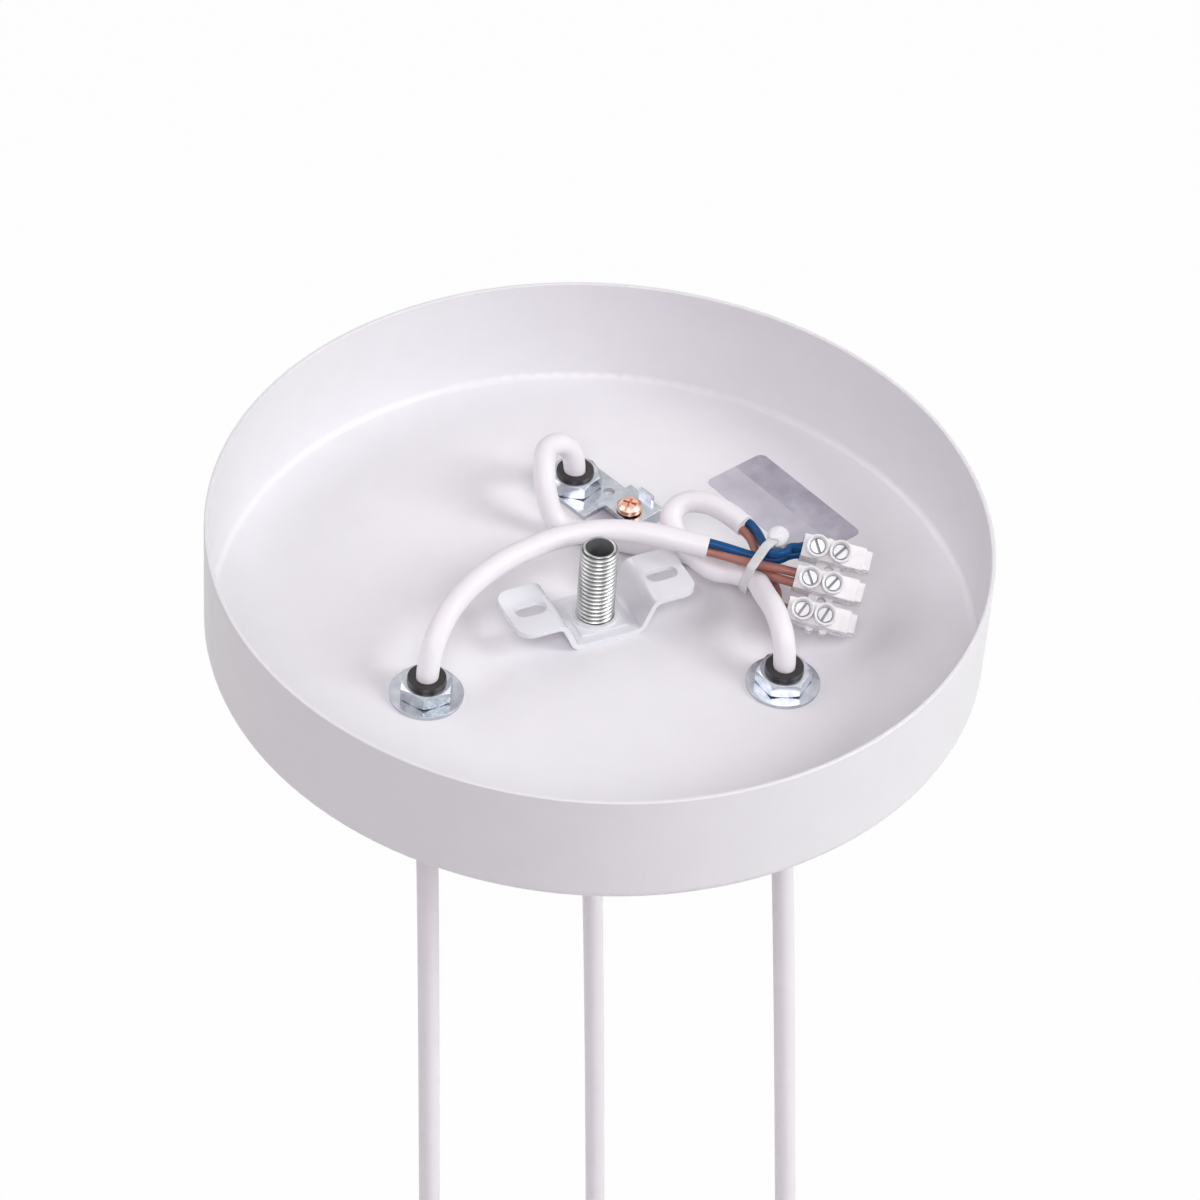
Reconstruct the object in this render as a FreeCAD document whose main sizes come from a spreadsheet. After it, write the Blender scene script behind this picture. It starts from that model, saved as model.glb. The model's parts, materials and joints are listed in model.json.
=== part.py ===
import FreeCAD, Part
import Sketcher
import math
import os
import re
from FreeCAD import Placement, Rotation, Vector

# Ceiling rose for three pendant lamps, seen from its open side.
# Millimetres, +Z up. The origin lies in the plane of the bracket's ceiling ears,
# midway between their two slots, and on the axis of the round rose.

os.makedirs("parts", exist_ok=True)
doc = FreeCAD.newDocument("ceiling_rose")

SIZES = {
    # round rose
    "rose_radius": 100.0,
    "rose_height": 33.0,
    "rose_wall": 1.2,
    "rose_corner": 3.0,
    "ear_level": 11.0,
    # threaded tube and its retaining nut
    "stem_radius": 4.92,
    "stem_bore": 3.65,
    "stem_top": 15.0,
    "stem_below": 6.5,
    "stem_chamfer": 0.5,
    "fit_gap": 0.05,
    "hole_gap": 0.25,
    "lock_washer_radius": 9.0,
    # ceiling bracket
    "strap_width": 18.0,
    "strap_length": 50.0,
    "strap_sheet": 1.5,
    "strap_base": 19.6,
    "riser_run": 3.6,
    "ear_corner": 4.0,
    "bend_radius": 1.8,
    "slot_edge": 6.5,
    "slot_length": 8.5,
    "slot_width": 4.5,
    "collar_radius": 5.9,
    "collar_height": 1.1,
    "pad_depth": 12.6,
    "pad_height": 0.4,
    # cord grips, one in each cable hole
    "grip_circle": 52.4,
    "grip_phase": -49.04,
    "shank_radius": 4.9,
    "shank_rise": 6.3,
    "shank_wall": 0.35,
    "grip_flange": 7.5,
    "grip_flange_height": 2.5,
    "grip_nose": 5.6,
    "grip_length": 13.0,
    "nut_flats": 12.6,
    "nut_height": 4.0,
    "washer_radius": 9.5,
    "washer_height": 1.0,
    # earth plate
    "plate_sheet": 1.4,
    "plate_reach": 11.6,
    "plate_back": 8.5,
    "plate_near": 7.0,
    "plate_far": 9.2,
    "bridge_rise": 2.6,
    "bridge_end": 24.4,
    "bridge_near": 1.6,
    "earth_screw_along": 19.2,
    "earth_screw_across": 1.9,
    "earth_head_radius": 3.3,
    "earth_shank_radius": 1.95,
    "plate_bearing": -72.8,
    "earth_head_lift": 0.5,
    # terminal block
    "block_east": 53.02,
    "block_north": -21.29,
    "block_up": 2.9,
    "block_yaw": -34.5,
    "block_pitch": 7.4,
    "block_roll": 37.5,
    "pole_pitch": 8.4,
    "pole_half_width": 2.95,
    "block_left": 6.7,
    "block_right": 11.3,
    "block_floor": 4.5,
    "block_roof": 3.3,
    "post_offset": 3.0,
    "post_radius": 2.9,
    "post_top": 6.5,
    "insert_radius": 2.3,
    "insert_bore": 1.65,
    "clamp_head_radius": 1.85,
    "clamp_head_top": 5.2,
    "clamp_shank_radius": 1.4,
    "clamp_tip": 1.35,
    # cables
    "cable_radius": 2.9,
    "core_radius": 1.2,
    "strand_radius": 0.5,
    # cable tie
    "tie_width": 2.4,
    "tie_sheet": 1.0,
    "tie_head": 2.45,
    "tie_head_height": 2.6,
    # rating label
    "label_east": 65.4,
    "label_north": 22.0,
    "label_bearing": -75.4,
    "label_length": 40.0,
    "label_width": 20.0,
    "label_sheet": 0.15,
    "label_corner": 2.0,
    # lamp holders on the far ends of the hanging cables
    "holder_radius": 17.0,
    "holder_wall": 1.8,
    "holder_skirt": 26.0,
    "holder_dome": 9.0,
    "holder_neck": 6.0,
    "holder_neck_length": 12.0,
    "holder_grip": 9.0,
}

sheet = doc.addObject("Spreadsheet::Sheet", "Sizes")
for row, (alias, number) in enumerate(SIZES.items(), start=1):
    sheet.set("A%d" % row, alias)
    sheet.set("B%d" % row, str(number))
    sheet.setAlias("B%d" % row, alias)
doc.recompute()


def size(alias):
    """The value of one driving dimension."""
    return float(getattr(sheet, alias))


def formula(text):
    """Point each named size in a formula at its cell."""
    return re.sub(r"[a-z]+(?:_[a-z]+)+", lambda word: "Sizes." + word.group(0), text)


def bind(item, **formulas):
    """Tie properties to formulas; a double underscore stands for a dot."""
    for prop, text in formulas.items():
        item.setExpression(prop.replace("__", "."), formula(text))
    return item


def at(item, east="0", north="0", up="0"):
    """Place an object by formulas."""
    if east != "0":
        bind(item, Placement__Base__x=east)
    if north != "0":
        bind(item, Placement__Base__y=north)
    if up != "0":
        bind(item, Placement__Base__z=up)
    return item


def cylinder(name, radius, height, east="0", north="0", up="0", angle=None):
    item = doc.addObject("Part::Cylinder", name)
    bind(item, Radius=radius, Height=height)
    if angle is not None:
        item.Placement = Placement(Vector(), angle)
    return at(item, east, north, up)


def cone(name, low, high, height, east="0", north="0", up="0"):
    item = doc.addObject("Part::Cone", name)
    bind(item, Radius1=low, Radius2=high, Height=height)
    return at(item, east, north, up)


def block(name, east, north, up, corner_east, corner_north, corner_up):
    item = doc.addObject("Part::Box", name)
    bind(item, Length=east, Width=north, Height=up)
    return at(item, corner_east, corner_north, corner_up)


def fuse(name, items):
    item = doc.addObject("Part::MultiFuse", name)
    item.Shapes = items
    item.Refine = True
    return item


def cut(name, base, tools):
    tool = tools[0] if len(tools) == 1 else fuse(name + "_cutters", tools)
    item = doc.addObject("Part::Cut", name)
    item.Base = base
    item.Tool = tool
    item.Refine = True
    return item


def common(name, base, tool):
    item = doc.addObject("Part::Common", name)
    item.Base = base
    item.Tool = tool
    return item


def origin_plane(body, role):
    return [f for f in body.Origin.OriginFeatures if f.Role == role][0]


def sketch_on(body, role, name):
    sketch = body.newObject("Sketcher::SketchObject", name)
    sketch.AttachmentSupport = [(origin_plane(body, role), "")]
    sketch.MapMode = "FlatFace"
    return sketch


def pin(sketch, geometry, end, across, along):
    """Fix one sketch point at two formulas from the sketch's origin."""
    for kind, text in (("DistanceX", across), ("DistanceY", along)):
        index = sketch.addConstraint(Sketcher.Constraint(kind, -1, 1, geometry, end, 1.0))
        sketch.setExpression("Constraints[%d]" % index, formula(text))


def outline(sketch, points):
    """A closed outline of straight lines through corners given by formulas."""
    count = len(points)
    spots = [Vector(math.cos(math.tau * i / count), math.sin(math.tau * i / count), 0) for i in range(count)]
    for i in range(count):
        sketch.addGeometry(Part.LineSegment(spots[i], spots[(i + 1) % count]), False)
    for i in range(count):
        sketch.addConstraint(Sketcher.Constraint("Coincident", i, 2, (i + 1) % count, 1))
    for i, (across, along) in enumerate(points):
        pin(sketch, i, 1, across, along)


def edges_where(shape, test):
    """Names of the edges whose middle and direction pass a test."""
    names = []
    for i, edge in enumerate(shape.Edges, start=1):
        middle = edge.valueAt((edge.FirstParameter + edge.LastParameter) / 2)
        ends = edge.valueAt(edge.LastParameter) - edge.valueAt(edge.FirstParameter)
        if test(edge, middle, ends):
            names.append("Edge%d" % i)
    return names


def near(a, b, slack=0.02):
    return abs(a - b) < slack


def pad(body, sketch, name, length, midplane=False):
    item = body.newObject("PartDesign::Pad", name)
    item.Profile = sketch
    item.Midplane = midplane
    bind(item, Length=length)
    return item


def fillet(body, feature, name, radius, test):
    doc.recompute()
    names = edges_where(feature.Shape, test)
    item = body.newObject("PartDesign::Fillet", name)
    item.Base = (feature, names)
    bind(item, Radius=radius)
    return item


UNDERSIDE = "-ear_level"
FLOOR = "rose_wall - ear_level"


BEARINGS = {
    "right": "grip_phase * 1deg",
    "rear": "(grip_phase + 120) * 1deg",
    "left": "(grip_phase + 240) * 1deg",
}


def grip_spot(name):
    """East and north of one cable hole, as formulas."""
    bearing = BEARINGS[name]
    return "grip_circle * cos(%s)" % bearing, "grip_circle * sin(%s)" % bearing


def grip_point(name, up):
    """One cable hole's centre at a height, as numbers."""
    turn = {"right": 0.0, "rear": 120.0, "left": 240.0}[name]
    bearing = math.radians(size("grip_phase") + turn)
    return Vector(size("grip_circle") * math.cos(bearing), size("grip_circle") * math.sin(bearing), up)


def build_canopy():
    """A spun round pan, open at the top, with the tube hole and three cable holes."""
    body = doc.addObject("PartDesign::Body", "canopy_pan")
    sketch = sketch_on(body, "XZ_Plane", "pan_section")
    outline(sketch, [
        ("0", UNDERSIDE),
        ("rose_radius", UNDERSIDE),
        ("rose_radius", "rose_height - ear_level"),
        ("rose_radius - rose_wall", "rose_height - ear_level"),
        ("rose_radius - rose_wall", FLOOR),
        ("0", FLOOR),
    ])
    pan = body.newObject("PartDesign::Revolution", "pan_spin")
    pan.Profile = sketch
    pan.ReferenceAxis = (sketch, ["V_Axis"])
    pan.Angle = 360.0
    radius, wall = size("rose_radius"), size("rose_wall")
    bottom, top = -size("ear_level"), size("rose_height") - size("ear_level")
    outer = fillet(body, pan, "pan_outer_corner", "rose_corner",
                   lambda e, m, d: near(m.z, bottom) and near(math.hypot(m.x, m.y), radius))
    inner = fillet(body, outer, "pan_inner_corner", "rose_corner - rose_wall",
                   lambda e, m, d: near(m.z, bottom + wall) and near(math.hypot(m.x, m.y), radius - wall))
    fillet(body, inner, "pan_rim", "rose_wall * 0.3", lambda e, m, d: near(m.z, top))
    drills = [cylinder("tube_hole", "stem_radius + hole_gap", "rose_wall * 3", up="-ear_level - rose_wall")]
    for name in BEARINGS:
        east, north = grip_spot(name)
        drills.append(cylinder("cable_hole_" + name, "shank_radius + hole_gap", "rose_wall * 3",
                               east, north, "-ear_level - rose_wall"))
    return cut("canopy", body, drills)


def build_bracket():
    """A bent strap: a base on the floor, two sloping risers and two slotted ears."""
    body = doc.addObject("PartDesign::Body", "strap_blank")
    sketch = sketch_on(body, "XZ_Plane", "strap_section")
    ear_end, base_end = "strap_length / 2", "strap_base / 2"
    rise = "(ear_level - rose_wall - strap_sheet)"
    slant = "strap_sheet * sqrt(riser_run ^ 2 + %s ^ 2) / %s" % (rise, rise)
    foot = "(%s - %s + riser_run * strap_sheet / %s)" % (base_end, slant, rise)
    ear_foot = "(%s + riser_run)" % foot
    under_foot = "(%s + riser_run + %s - riser_run * strap_sheet / %s)" % (foot, slant, rise)
    half = [
        (foot, FLOOR + " + strap_sheet"),
        (ear_foot, "0"),
        (ear_end, "0"),
        (ear_end, "-strap_sheet"),
        (under_foot, "-strap_sheet"),
        (base_end, FLOOR),
    ]
    outline(sketch, half + [("-(%s)" % east, up) for east, up in reversed(half)])
    strap = pad(body, sketch, "strap_pad", "strap_width", midplane=True)
    floor, thick = size("rose_wall") - size("ear_level"), size("strap_sheet")
    doc.recompute()
    across = lambda d: near(abs(d.y), size("strap_width"))
    short_of_end = lambda m: abs(m.x) < size("strap_length") / 2 - 1
    inside = fillet(body, strap, "strap_inside_bends", "bend_radius",
                    lambda e, m, d: across(d) and (near(m.z, floor + thick) or
                                                   (near(m.z, -thick) and short_of_end(m))))
    outside = fillet(body, inside, "strap_outside_bends", "bend_radius + strap_sheet",
                     lambda e, m, d: across(d) and ((near(m.z, floor) or near(m.z, 0)) and
                                                    short_of_end(m) and bend_corner(e, m, floor)))
    fillet(body, outside, "ear_corners", "ear_corner",
           lambda e, m, d: near(abs(m.x), size("strap_length") / 2) and near(abs(d.z), thick))
    collar = cylinder("strap_collar", "collar_radius", "collar_height + strap_sheet", up=FLOOR)
    step = block("strap_step", "strap_base - 2 * strap_sheet - 2 * bend_radius", "pad_depth",
                 "pad_height + strap_sheet", "-strap_base / 2 + strap_sheet + bend_radius",
                 "-pad_depth / 2", FLOOR)
    cutters = [cylinder("collar_thread", "stem_radius + fit_gap", "3 * strap_sheet",
                        up=FLOOR + " - strap_sheet / 2")]
    for side, sign in (("east", ""), ("west", "-")):
        middle = sign + "(strap_length / 2 - slot_edge)"
        straight = "(slot_length - slot_width)"
        cutters.append(block("slot_flat_" + side, straight, "slot_width", "4 * strap_sheet",
                             "%s - %s / 2" % (middle, straight), "-slot_width / 2", "-3 * strap_sheet"))
        for end, shift in (("inner", "-"), ("outer", "+")):
            cutters.append(cylinder("slot_%s_%s" % (side, end), "slot_width / 2", "4 * strap_sheet",
                                    "%s %s %s / 2" % (middle, shift, straight), "0", "-3 * strap_sheet"))
    return cut("mounting_bracket", fuse("strap_formed", [body, collar, step]), cutters)


def bend_corner(edge, middle, floor):
    """True on a sharp bend line, false where a finished bend meets the flat."""
    if near(middle.z, floor):
        return near(abs(middle.x), size("strap_base") / 2, 0.05)
    return abs(middle.x) < size("strap_base") / 2 + size("riser_run") - size("strap_sheet") * 0.2


def build_stem():
    """The hollow threaded tube, chamfered at both ends."""
    length = "(stem_top + ear_level + stem_below)"
    rod = cylinder("stem_rod", "stem_radius", length + " - 2 * stem_chamfer",
                   up="-ear_level - stem_below + stem_chamfer")
    head = cone("stem_head", "stem_radius", "stem_radius - stem_chamfer", "stem_chamfer",
                up="stem_top - stem_chamfer")
    tail = cone("stem_tail", "stem_radius - stem_chamfer", "stem_radius", "stem_chamfer",
                up="-ear_level - stem_below")
    bore = cylinder("stem_hollow", "stem_bore", length + " + 2", up="-ear_level - stem_below - 1")
    return cut("threaded_tube", fuse("stem_outside", [rod, head, tail]), [bore])


def hex_nut(label, bore, east, north, up, turn, height="nut_height", flats="nut_flats"):
    """A hexagon nut with both faces chamfered to a round."""
    prism = doc.addObject("Part::Prism", label + "_hexagon")
    prism.Polygon = 6
    bind(prism, Circumradius="%s / sqrt(3)" % flats, Height=height)
    prism.Placement = Placement(Vector(), Rotation(turn, 0, 0))
    slope = "(%s / sqrt(3) - %s / 2) * 0.58" % (flats, flats)
    low = cone(label + "_low", "%s / 2 * 0.98" % flats, "%s / sqrt(3)" % flats, slope)
    mid = cylinder(label + "_mid", "%s / sqrt(3)" % flats, "%s - 2 * %s" % (height, slope), up=slope)
    top = cone(label + "_top", "%s / sqrt(3)" % flats, "%s / 2 * 0.98" % flats, slope,
               up="%s - %s" % (height, slope))
    turned = fuse(label + "_turned", [low, mid, top])
    blank = common(label + "_blank", prism, turned)
    hole = cylinder(label + "_thread", bore, "3 * " + height, up="-" + height)
    return at(cut(label, blank, [hole]), east, north, up)


LOCK_NUT_TURN = 12.0


def build_lock():
    """The washer and nut that hold the tube under the rose."""
    disc = cylinder("tube_washer_disc", "lock_washer_radius", "washer_height",
                    up="-ear_level - washer_height")
    hole = cylinder("tube_washer_hole", "stem_radius + hole_gap", "3 * washer_height",
                    up="-ear_level - 2 * washer_height")
    washer = cut("tube_washer", disc, [hole])
    nut = hex_nut("tube_nut", "stem_radius + fit_gap", "0", "0",
                  "-ear_level - washer_height - nut_height", LOCK_NUT_TURN)
    return [washer, nut]


def build_grip(name):
    """The black cord grip: threaded shank through the floor, flange and rounded nose below."""
    east, north = grip_spot(name)
    shank = cylinder("shank_" + name, "shank_radius", "shank_rise + rose_wall", up="0")
    flange = cylinder("flange_" + name, "grip_flange", "grip_flange_height", up="-grip_flange_height")
    barrel = cylinder("barrel_" + name, "grip_flange - 0.8", "grip_length * 0.55",
                      up="-grip_flange_height - grip_length * 0.55")
    nose = cone("nose_" + name, "grip_nose - 1.2", "grip_flange - 0.8", "grip_length * 0.25",
                up="-grip_flange_height - grip_length * 0.8")
    solid = fuse("grip_outside_" + name, [shank, flange, barrel, nose])
    bore = cylinder("grip_bore_" + name, "cable_radius + fit_gap", "4 * grip_length", up="-2 * grip_length")
    return at(cut("cord_grip_" + name, solid, [bore]), east, north, "-ear_level")


NUT_TURNS = {"left": 1.4, "right": -21.9, "rear": -34.4}


def build_grips():
    made = []
    for name in BEARINGS:
        east, north = grip_spot(name)
        made.append(build_grip(name))
        seat = FLOOR + (" + plate_sheet" if name == "rear" else " + washer_height")
        made.append(hex_nut("grip_nut_" + name, "shank_radius + fit_gap", east, north, seat, NUT_TURNS[name]))
        if name != "rear":
            disc = cylinder("washer_disc_" + name, "washer_radius", "washer_height")
            hole = cylinder("washer_hole_" + name, "shank_radius + hole_gap", "3 * washer_height",
                            up="-washer_height")
            washer = at(cut("grip_washer_" + name, disc, [hole]), east, north, FLOOR)
            made.append(washer)
    return made


def build_earth():
    """Earth plate under the rear nut, with a bridge that carries the copper screw."""
    body = doc.addObject("PartDesign::Body", "earth_blank")
    flat = sketch_on(body, "XY_Plane", "earth_flat_outline")
    outline(flat, [
        ("-plate_back", "-plate_near * 0.55"),
        ("-plate_back * 0.55", "-plate_near"),
        ("plate_reach", "-plate_near"),
        ("plate_reach", "plate_far"),
        ("-plate_back * 0.4", "plate_far"),
        ("-plate_back", "plate_far * 0.5"),
    ])
    base = pad(body, flat, "earth_flat", "plate_sheet")
    side = sketch_on(body, "XZ_Plane", "earth_bridge_section")
    outline(side, [
        ("plate_reach - plate_sheet", "0"),
        ("plate_reach", "0"),
        ("plate_reach + plate_sheet", "bridge_rise"),
        ("bridge_end - plate_sheet", "bridge_rise"),
        ("bridge_end - plate_sheet", "0"),
        ("bridge_end", "0"),
        ("bridge_end", "bridge_rise + plate_sheet"),
        ("plate_reach + plate_sheet / 4", "bridge_rise + plate_sheet"),
        ("plate_reach - plate_sheet", "plate_sheet"),
    ])
    bridge = body.newObject("PartDesign::Pad", "earth_bridge")
    bridge.Profile = side
    bridge.SideType = "Two sides"
    bind(bridge, Length="bridge_near", Length2="plate_far")
    ear_plan = sketch_on(body, "XY_Plane", "earth_ear_plan")
    outline(ear_plan, [
        ("earth_screw_along - 3.2", "plate_far - 0.9"),
        ("earth_screw_along + 1.6", "plate_far - 0.9"),
        ("earth_screw_along + 1.6", "plate_far"),
        ("earth_screw_along - 3.2", "plate_far"),
    ])
    ear = pad(body, ear_plan, "earth_ear", "bridge_rise + plate_sheet + 2.0")
    doc.recompute()
    under = block("earth_under_ear", "6", "3", "bridge_rise", "earth_screw_along - 4", "plate_far - 2", "0")
    drills = [
        cylinder("earth_gland_hole", "shank_radius + hole_gap", "4 * plate_sheet", up="-plate_sheet"),
        cylinder("earth_small_hole", "1.5", "4 * plate_sheet", "8.2", "5", "-plate_sheet"),
        cylinder("earth_tapped_hole", "earth_shank_radius + fit_gap", "4 * bridge_rise",
                 "earth_screw_along", "earth_screw_across", "-bridge_rise"),
        under,
    ]
    plate = cut("earth_plate", body, drills)
    floor = size("rose_wall") - size("ear_level")
    spot = Placement(grip_point("rear", floor), Rotation(size("plate_bearing"), 0, 0))
    plate.Placement = spot
    head = cylinder("earth_head_rim", "earth_head_radius", "1.3")
    dome = cone("earth_head_dome", "earth_head_radius", "earth_head_radius * 0.72", "0.8", up="1.3")
    shank = cylinder("earth_shank", "earth_shank_radius", "bridge_rise + plate_sheet",
                     up="-bridge_rise - plate_sheet")
    cross = [block("cross_a", "3.6", "0.7", "2", "-1.8", "-0.35", "0.8"),
             block("cross_b", "0.7", "3.6", "2", "-0.35", "-1.8", "0.8")]
    screw = cut("earth_screw", fuse("earth_screw_blank", [head, dome, shank]), cross)
    seat = size("bridge_rise") + size("plate_sheet") + size("earth_head_lift")
    spin = Placement(Vector(size("earth_screw_along"), size("earth_screw_across"), seat), Rotation(28, 0, 0))
    screw.Placement = spot.multiply(spin)


POLES = {"upper": 1, "middle": 0, "lower": -1}
SLOT_TURNS = {
    ("upper", "inlet"): -59.6, ("upper", "outlet"): 54.8,
    ("middle", "inlet"): -57.4, ("middle", "outlet"): 60.5,
    ("lower", "inlet"): 67.3, ("lower", "outlet"): 71.6,
}
ALONG = Rotation(Vector(0, 1, 0), 90)


def block_place():
    """The terminal block lies propped on its lower edge, its screws toward the open side."""
    middle = Vector(size("block_east"), size("block_north"), size("block_up"))
    return Placement(middle, Rotation(size("block_yaw"), size("block_pitch"), size("block_roll")))


def build_housing():
    """Moulded three-pole housing: a cell for each pole with two screw posts, joined by webs."""
    solids = []
    cutters = []
    for name, step in POLES.items():
        line = "%d * pole_pitch" % step
        solids.append(block("cell_" + name, "block_left + block_right - 1.7", "2 * pole_half_width",
                            "block_floor + block_roof", "-block_left",
                            line + " - pole_half_width", "-block_floor"))
        solids.append(block("cell_end_" + name, "3", "2 * pole_half_width - 0.9",
                            "block_floor + block_roof - 0.9", "block_right - 3",
                            line + " - pole_half_width + 0.45", "-block_floor"))
        for end, sign in (("inlet", "-"), ("outlet", "")):
            across = sign + "post_offset"
            solids.append(cylinder("post_%s_%s" % (name, end), "post_radius", "post_top", across, line))
            cutters.append(cylinder("well_%s_%s" % (name, end), "clamp_head_radius + 0.15",
                                    "post_top", across, line, "clamp_head_top - 1.6"))
            cutters.append(cone("funnel_%s_%s" % (name, end), "clamp_head_radius + 0.15", "post_radius - 0.4",
                                "post_top - clamp_head_top + 0.1", across, line, "clamp_head_top - 0.1"))
            cutters.append(cylinder("throat_%s_%s" % (name, end), "clamp_shank_radius + 0.25",
                                    "clamp_head_top", across, line))
        cutters.append(cylinder("insert_room_" + name, "insert_radius + fit_gap", "12.8",
                                "-4.3", line, "0", ALONG))
        cutters.append(block("wire_mouth_" + name, "block_left - 4.3 + 1", "2 * pole_half_width - 0.8", "4.9",
                             "-block_left - 1", line + " - pole_half_width + 0.4", "-2.25"))
        cutters.append(cylinder("outlet_mouth_" + name, "insert_radius - 0.2", "block_right",
                                "6", line, "0", ALONG))
    solids.append(block("web", "6.4", "2 * pole_pitch", "3.4", "-2.1", "-pole_pitch", "-block_floor"))
    for step in (-1, 1):
        cutters.append(cylinder("fixing_hole_%d" % (step + 2), "1.2", "9", "1.5",
                                "%d * pole_pitch / 2" % step, "-10"))
        for turn, along in enumerate((0.1, 3.7)):
            solids.append(cylinder("nub_%d_%d" % (step + 2, turn), "1.1", "3.6", "%g" % along,
                                   "%d * (pole_pitch + pole_half_width)" % step, "-block_floor"))
    housing = cut("terminal_housing", fuse("housing_solid", solids), cutters)
    housing.Placement = block_place()


def build_clamps():
    """Brass tube inserts and their slotted clamp screws, two in each pole."""
    for name, step in POLES.items():
        line = step * size("pole_pitch")
        rod = cylinder("insert_rod_" + name, "insert_radius", "12.6", "-4.2", "0", "0", ALONG)
        bore = cylinder("insert_bore_" + name, "insert_bore", "16", "-6", "0", "0", ALONG)
        lead_in = cone("insert_lead_in_" + name, "insert_radius - 0.1", "insert_bore", "0.8")
        lead_in.Placement = Placement(Vector(-4.2, 0, 0), ALONG)
        taps = [bore, lead_in]
        for end, sign in (("inlet", "-"), ("outlet", "")):
            taps.append(cylinder("insert_tap_%s_%s" % (name, end), "clamp_shank_radius + fit_gap", "5",
                                 sign + "post_offset"))
            build_clamp_screw(name, end, -1 if sign else 1, line)
        insert = cut("brass_insert_" + name, rod, taps)
        insert.Placement = block_place().multiply(Placement(Vector(0, line, 0), Rotation()))


def build_clamp_screw(name, end, side, line):
    tag = "%s_%s" % (name, end)
    head = cylinder("clamp_head_" + tag, "clamp_head_radius", "1.5", up="clamp_head_top - 1.5")
    tip = "clamp_tip" if end == "inlet" else "insert_bore + 0.15"
    shank = cylinder("clamp_shank_" + tag, "clamp_shank_radius", "clamp_head_top - 1.5 - (%s)" % tip, up=tip)
    slot = block("clamp_slot_" + tag, "6", "0.65", "2", "-3", "-0.325", "clamp_head_top - 0.9")
    screw = cut("clamp_screw_" + tag, fuse("clamp_blank_" + tag, [head, shank]), [slot])
    turned = Placement(Vector(side * size("post_offset"), line, 0), Rotation(SLOT_TURNS[name, end], 0, 0))
    screw.Placement = block_place().multiply(turned)


# Cable routes: free points chosen along the cable's lie, from the cord grip inward.
LEAD_ROUTES = {
    "left": [
        (-44.94, -4.68, 10.0), (-35.81, 1.86, 11.3), (-25.21, 7.12, 11.6), (-14.65, 10.15, 11.3),
        (-3.56, 12.22, 10.3), (6.96, 11.63, 9.3), (16.61, 8.41, 8.0), (23.79, 3.64, 7.2), (30.68, -1.18, 6.2),
    ],
    "right": [
        (36.61, -31.17, 6.6), (38.71, -20.08, 3.8), (39.82, -12.35, -0.8), (36.14, -4.91, 0.46),
        (31.48, -2.35, -0.3), (28.84, 3.52, 0.2), (27.19, 10.45, 1.6), (28.28, 16.64, 3.8),
        (32.92, 17.63, 6.0), (37.76, 14.06, 7.0), (41.11, 8.5, 7.0), (43.0, 2.32, 6.6),
    ],
    "rear": [
        (14.43, 48.46, 8.0), (8.38, 45.99, 10.0), (3.02, 41.81, 5.0), (1.89, 39.23, -2.5),
        (4.12, 34.67, -6.6), (10.18, 29.0, -6.8), (17.91, 22.22, -6.8), (25.17, 14.55, -6.8),
        (31.4, 5.6, -6.8), (36.9, -3.4, -6.3),
    ],
}
LEAD_RISE = {"left": 13.0, "right": 13.0, "rear": 11.0}
SPLIT_LEVEL = 2.5

# Hanging stretches: a slight bend below the rose, then the taut fall to the lamp holder.
FALLS = {
    "left": [(-48.93, -11.29, -75.0), (-42.89, -14.47, -298.0)],
    "right": [(39.47, -42.27, -72.0), (55.82, -50.87, -298.0)],
    "rear": [(26.88, 44.39, -111.0), (36.46, 39.36, -310.0)],
}
FALL_START = -36.0

# Insulated cores, from each sheath's end through the cable tie to a terminal mouth.
CORE_ROUTES = {
    "blue_left": [
        (31.02, -0.97, 7.35), (33.46, -2.68, 7), (40.98, -8.1, 5.72), (45.88, -10.65, 6.44),
        (49.27, -11.09, 7.64), (52.38, -13.23, 7.15),
    ],
    "brown_left": [
        (30.37, -1.41, 5.04), (32.81, -3.12, 4.69), (38.49, -9.33, 4.01), (43.14, -13.32, 5.16),
        (45.94, -15.34, 5.04), (49.05, -17.48, 4.55),
    ],
    "blue_right": [
        (44.02, 2.57, 7.23), (44.89, -0.29, 7.04), (44.86, -3.29, 6.97), (45.08, -6.21, 7.64),
        (46.47, -9.17, 9.13), (49.34, -11.56, 10.13), (52.45, -13.7, 9.64),
    ],
    "brown_right": [
        (41.99, 2.03, 5.97), (42.87, -0.83, 5.79), (42.69, -4.38, 4.62), (42.06, -8.44, 2.88),
        (42.7, -12.81, 2.28), (44.73, -16.68, 3.18), (47.84, -18.81, 2.69),
    ],
    "blue_rear": [
        (37.28, -3.13, -5.17), (38.11, -4.49, -5.1), (40.53, -6.7, -3.29), (43.77, -7.5, 1.01),
        (47.34, -7.72, 6.63), (50.56, -9.57, 9.15), (53.66, -11.7, 8.66),
    ],
    "brown_rear": [
        (36.54, -3.7, -7.43), (37.38, -5.07, -7.35), (38.79, -7.4, -6.43), (39.49, -9.93, -5.19),
        (39.2, -15.88, -3.49), (41.02, -21.13, -0.96), (44.13, -23.26, -1.45),
    ],
}
CORE_MOUTHS = {
    "blue_left": ("upper", -1.25, -1.0),
    "blue_right": ("upper", 0.0, 1.2),
    "blue_rear": ("upper", 1.25, -1.0),
    "brown_left": ("middle", 1.28, 0.2),
    "brown_right": ("middle", -1.28, -0.2),
    "brown_rear": ("lower", 0.0, 0.0),
}


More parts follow.
